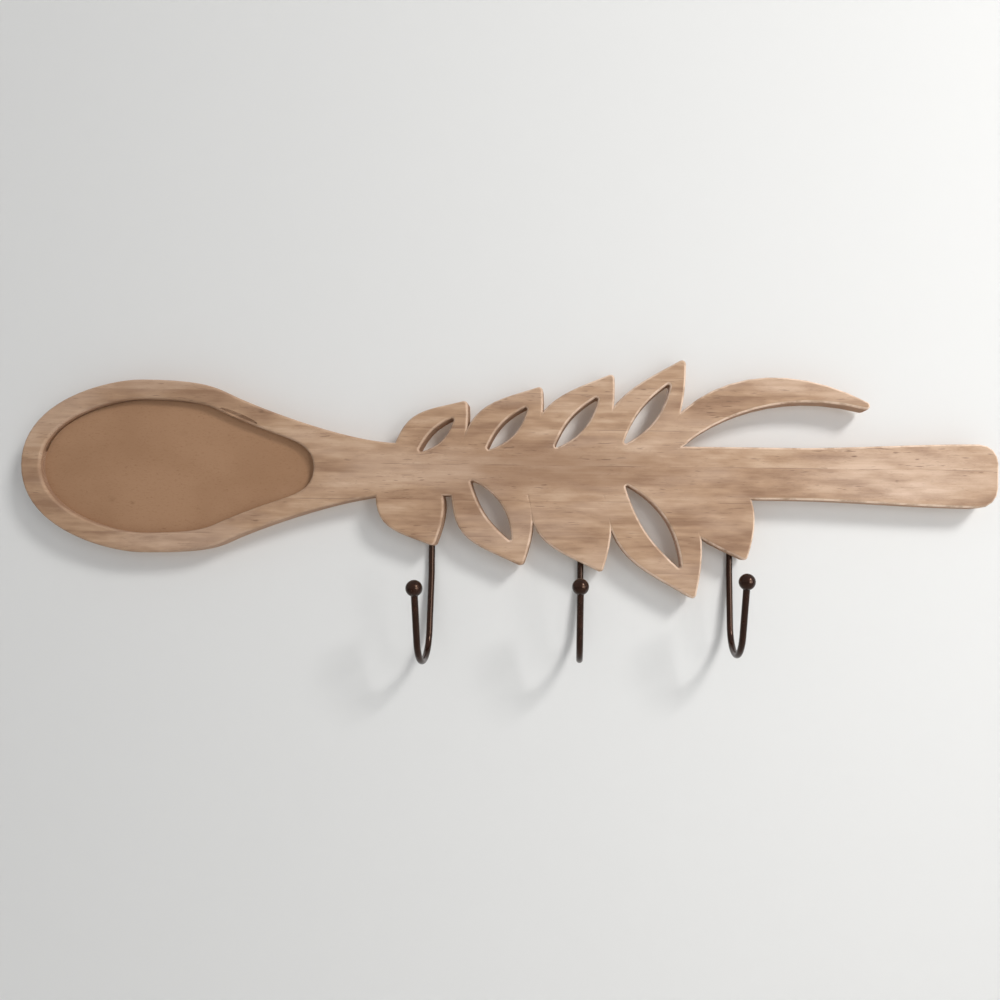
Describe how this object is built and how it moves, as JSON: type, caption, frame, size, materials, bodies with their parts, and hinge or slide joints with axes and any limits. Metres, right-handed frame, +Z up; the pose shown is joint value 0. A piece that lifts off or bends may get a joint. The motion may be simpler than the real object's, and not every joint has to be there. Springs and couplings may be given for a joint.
{
  "type": "wooden wall hook rack",
  "caption": "Long wooden spoon sawn from board with a pierced leaf sprig along its handle, a panel in its bowl and ball-ended wire hooks for the wall.",
  "frame": {"origin": "on the back face of the board, on the axis of the spoon, halfway along its length", "axes": "+X along the spoon from the bowl to the end of the handle, +Y into the wall, +Z up"},
  "size_m": [0.61, 0.0581, 0.1901],
  "materials": {
    "board_wood": "pale washed wood, matt, with darker grain streaks and lighter sanded edges",
    "bowl_panel": "plain matt fibreboard",
    "hook_black": "black paint, satin",
    "zinc": "zinc-plated steel, satin"
  },
  "bodies": {
    "root": {"spoon_board": "board_wood", "bowl_panel": "bowl_panel", "hook_wire_left": "hook_black", "hook_wire_middle": "hook_black", "hook_wire_right": "hook_black", "hook_ball_left": "hook_black", "hook_ball_middle": "hook_black", "hook_ball_right": "hook_black", "hook_screw_left_upper": "zinc", "hook_screw_left_lower": "zinc", "hook_screw_middle_upper": "zinc", "hook_screw_middle_lower": "zinc", "hook_screw_right_upper": "zinc", "hook_screw_right_lower": "zinc", "hanger_left": "zinc", "hanger_right": "zinc", "hanger_nail_left_a": "zinc", "hanger_nail_left_b": "zinc", "hanger_nail_right_a": "zinc", "hanger_nail_right_b": "zinc"}
  },
  "joints": []
}
